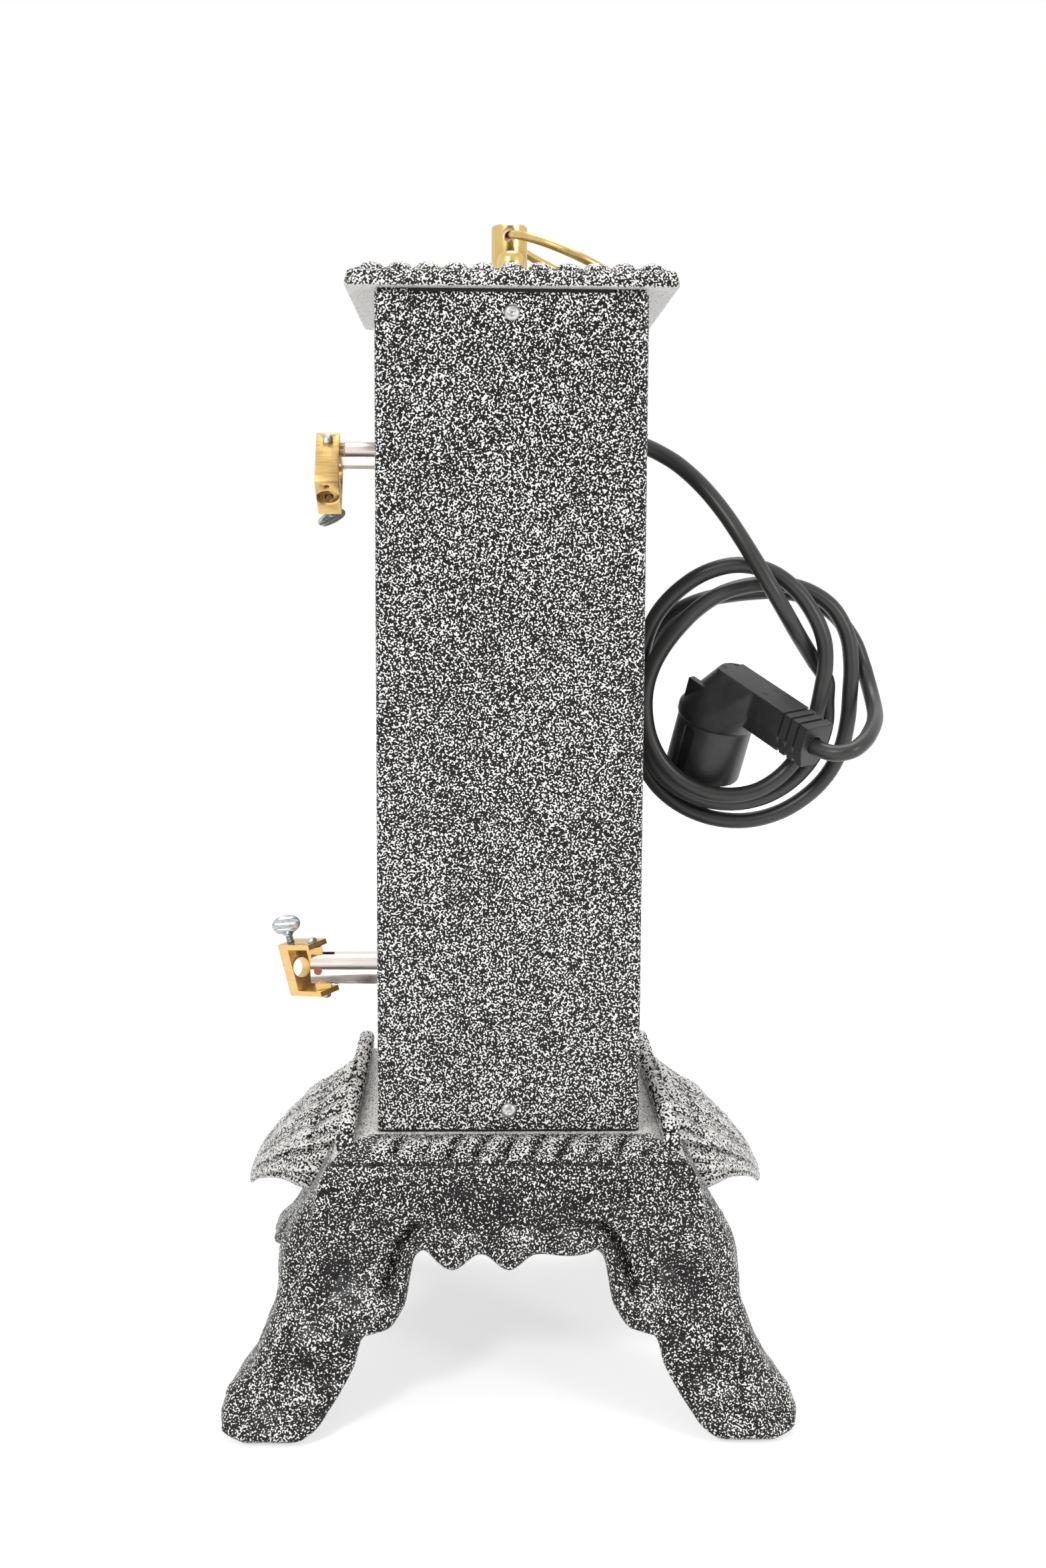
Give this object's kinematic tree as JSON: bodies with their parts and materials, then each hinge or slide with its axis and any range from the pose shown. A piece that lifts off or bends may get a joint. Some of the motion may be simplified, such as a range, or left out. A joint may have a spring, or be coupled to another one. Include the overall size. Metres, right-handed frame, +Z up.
{
  "type": "spit roaster",
  "caption": "Upright electric spit roaster: speckled tower on a scrolled stand, two driven shafts with universal joints and yokes for spits, carrying ring and coiled mains cord.",
  "frame": {"origin": "floor level below the middle of the stand, which is on the tower's vertical axis", "axes": "+Z up; -X is the front, where the two shafts come out; +X is the rear with the cord; -Y is the near side with its cover"},
  "size_m": [0.3032, 0.262, 0.5295],
  "materials": {
    "speckled_paint": "semi-gloss enamel, off-white vermiculated speckle on near-black",
    "steel": "bare sheet and bar steel",
    "gear_steel": "machined steel",
    "zinc": "zinc plated",
    "brass": "worn, brushed",
    "bronze": "sintered bronze",
    "nickel": "nickel plated",
    "copper_pin": "copper coloured",
    "motor_case": "dark grey",
    "terminal_plastic": "off-white",
    "black_plastic": "moulded",
    "cord_rubber": "satin"
  },
  "bodies": {
    "tower": {"stand": "speckled_paint", "bottom_plate": "steel", "top_plate": "steel", "front_panel": "speckled_paint", "rear_panel": "speckled_paint", "side_cover_near": "speckled_paint", "side_cover_far": "speckled_paint", "cover_rivets": "zinc", "cap": "speckled_paint", "cap_stud": "brass", "cap_nuts": "brass", "tie_rods": "steel", "tie_rod_nuts": "zinc", "gear_frame": "steel", "front_bushes": "bronze", "rear_bushes": "bronze", "idler_axles": "steel", "axle_clips": "zinc", "gear_motor": "motor_case", "motor_screws": "zinc", "terminal_block": "terminal_plastic", "inner_lead": "cord_rubber", "cord_gland": "black_plastic", "cord_lead": "cord_rubber", "cord_coil": "cord_rubber", "plug_body": "black_plastic", "plug_pins": "nickel"},
    "drive": {"motor_shaft": "steel", "drive_gear": "gear_steel"},
    "lower_idler": {"lower_idler": "gear_steel"},
    "upper_idler": {"upper_idler": "gear_steel"},
    "lower_spindle": {"lower_shaft": "nickel", "lower_gear": "gear_steel", "lower_collar": "steel", "lower_cross_pin": "copper_pin"},
    "lower_cross": {"lower_block": "brass", "lower_pivot_screws": "zinc"},
    "lower_fork": {"lower_yoke": "brass"},
    "lower_screw": {"lower_thumb_screw": "zinc"},
    "upper_spindle": {"upper_shaft": "nickel", "upper_gear": "gear_steel", "upper_collar": "steel", "upper_cross_pin": "copper_pin"},
    "upper_cross": {"upper_block": "brass", "upper_pivot_screws": "zinc"},
    "upper_fork": {"upper_yoke": "brass"},
    "upper_screw": {"upper_thumb_screw": "zinc"},
    "ring": {"carrying_ring": "brass"}
  },
  "joints": [
    {"name": "lower_spin", "type": "hinge", "parent": "tower", "child": "lower_spindle", "pos_m": [0, 0, 0.18], "axis": [1, 0, 0], "continuous": true},
    {"name": "lower_idler_spin", "type": "hinge", "parent": "tower", "child": "lower_idler", "pos_m": [-0.0415, 0, 0.242], "axis": [1, 0, 0], "continuous": true},
    {"name": "drive_spin", "type": "hinge", "parent": "tower", "child": "drive", "pos_m": [-0.0415, 0, 0.302], "axis": [1, 0, 0], "continuous": true},
    {"name": "upper_idler_spin", "type": "hinge", "parent": "tower", "child": "upper_idler", "pos_m": [-0.0415, 0, 0.362], "axis": [1, 0, 0], "continuous": true},
    {"name": "upper_spin", "type": "hinge", "parent": "tower", "child": "upper_spindle", "pos_m": [0, 0, 0.424], "axis": [1, 0, 0], "continuous": true},
    {"name": "lower_tilt", "type": "hinge", "parent": "lower_spindle", "child": "lower_cross", "pos_m": [-0.0906, 0, 0.18], "axis": [0, 1, 0], "range_deg": [-0.8, 29.2]},
    {"name": "lower_swing", "type": "hinge", "parent": "lower_cross", "child": "lower_fork", "pos_m": [-0.0906, 0, 0.18], "axis": [-0.2453, 0, 0.9694], "range_deg": [-40, 140]},
    {"name": "lower_screw_slide", "type": "slide", "parent": "lower_fork", "child": "lower_screw", "axis": [-0.2453, 0, 0.9694], "range_m": [-0.0035, 0.002]},
    {"name": "upper_tilt", "type": "hinge", "parent": "upper_spindle", "child": "upper_cross", "pos_m": [-0.0837, 0, 0.424], "axis": [0, 0.5402, 0.8415], "range_deg": [-15, 15]},
    {"name": "upper_swing", "type": "hinge", "parent": "upper_cross", "child": "upper_fork", "pos_m": [-0.0837, 0, 0.424], "axis": [0, -0.8415, 0.5402], "range_deg": [-180, 0]},
    {"name": "upper_screw_slide", "type": "slide", "parent": "upper_fork", "child": "upper_screw", "axis": [0, 0.8415, -0.5402], "range_m": [-0.0035, 0.002]},
    {"name": "ring_hinge", "type": "hinge", "parent": "tower", "child": "ring", "pos_m": [0, 0, 0.5246], "axis": [0, -1, 0], "range_deg": [0, 226]}
  ],
  "couplings": [
    {"joint": "lower_idler_spin", "follows": "lower_spin", "ratio": -1.0667},
    {"joint": "drive_spin", "follows": "lower_spin", "ratio": 1.0667},
    {"joint": "upper_idler_spin", "follows": "lower_spin", "ratio": -1.0667},
    {"joint": "upper_spin", "follows": "lower_spin", "ratio": 1}
  ]
}
